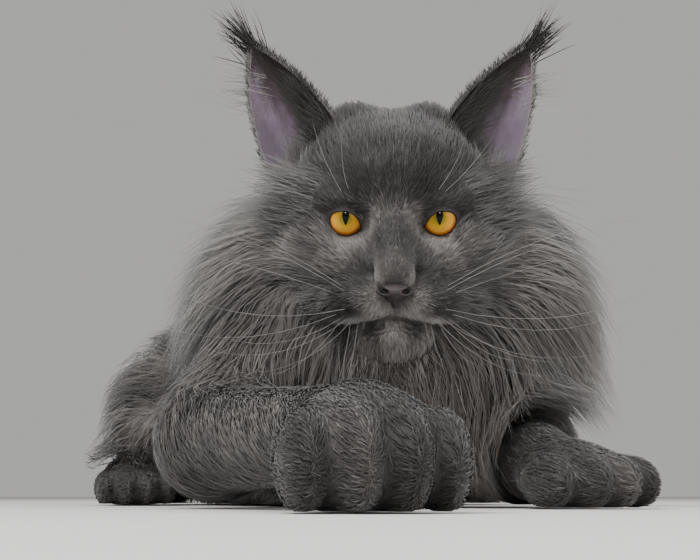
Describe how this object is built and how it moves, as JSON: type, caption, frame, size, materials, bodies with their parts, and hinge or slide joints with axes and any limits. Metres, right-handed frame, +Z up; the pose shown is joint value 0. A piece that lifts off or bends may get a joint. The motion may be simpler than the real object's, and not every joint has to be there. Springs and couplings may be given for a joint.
{
  "type": "maine coon cat",
  "caption": "Life-size long-haired cat lying on its chest, one foreleg stretched forward, ears up, tail laid along its side.",
  "frame": {"origin": "middle of the flat under the breastbone, where the chest rests on the floor", "axes": "+Z up from the floor, the cat faces -Y, +X towards the cat's left side"},
  "size_m": [0.3778, 0.7912, 0.2946],
  "materials": {
    "coat": "long soft blue-grey fur",
    "dark_coat": "short dense dark grey fur",
    "ear": "dark skin with thin fur",
    "nose_leather": "dark, slightly moist",
    "eye": "wet, clear, amber"
  },
  "bodies": {
    "root": {"head": "coat", "nose": "nose_leather", "eye_right": "eye", "eye_left": "eye", "ear_right": "ear", "ear_left": "ear", "ruff": "coat", "trunk": "coat", "upper_arm_right": "coat", "forearm_right": "coat", "forepaw_right": "dark_coat", "thigh_right": "coat", "hind_foot_right": "dark_coat", "upper_arm_left": "coat", "forearm_left": "coat", "forepaw_left": "dark_coat", "thigh_left": "coat", "hind_foot_left": "dark_coat", "tail_base": "coat", "tail_middle": "coat", "tail_tip": "dark_coat"}
  },
  "joints": []
}
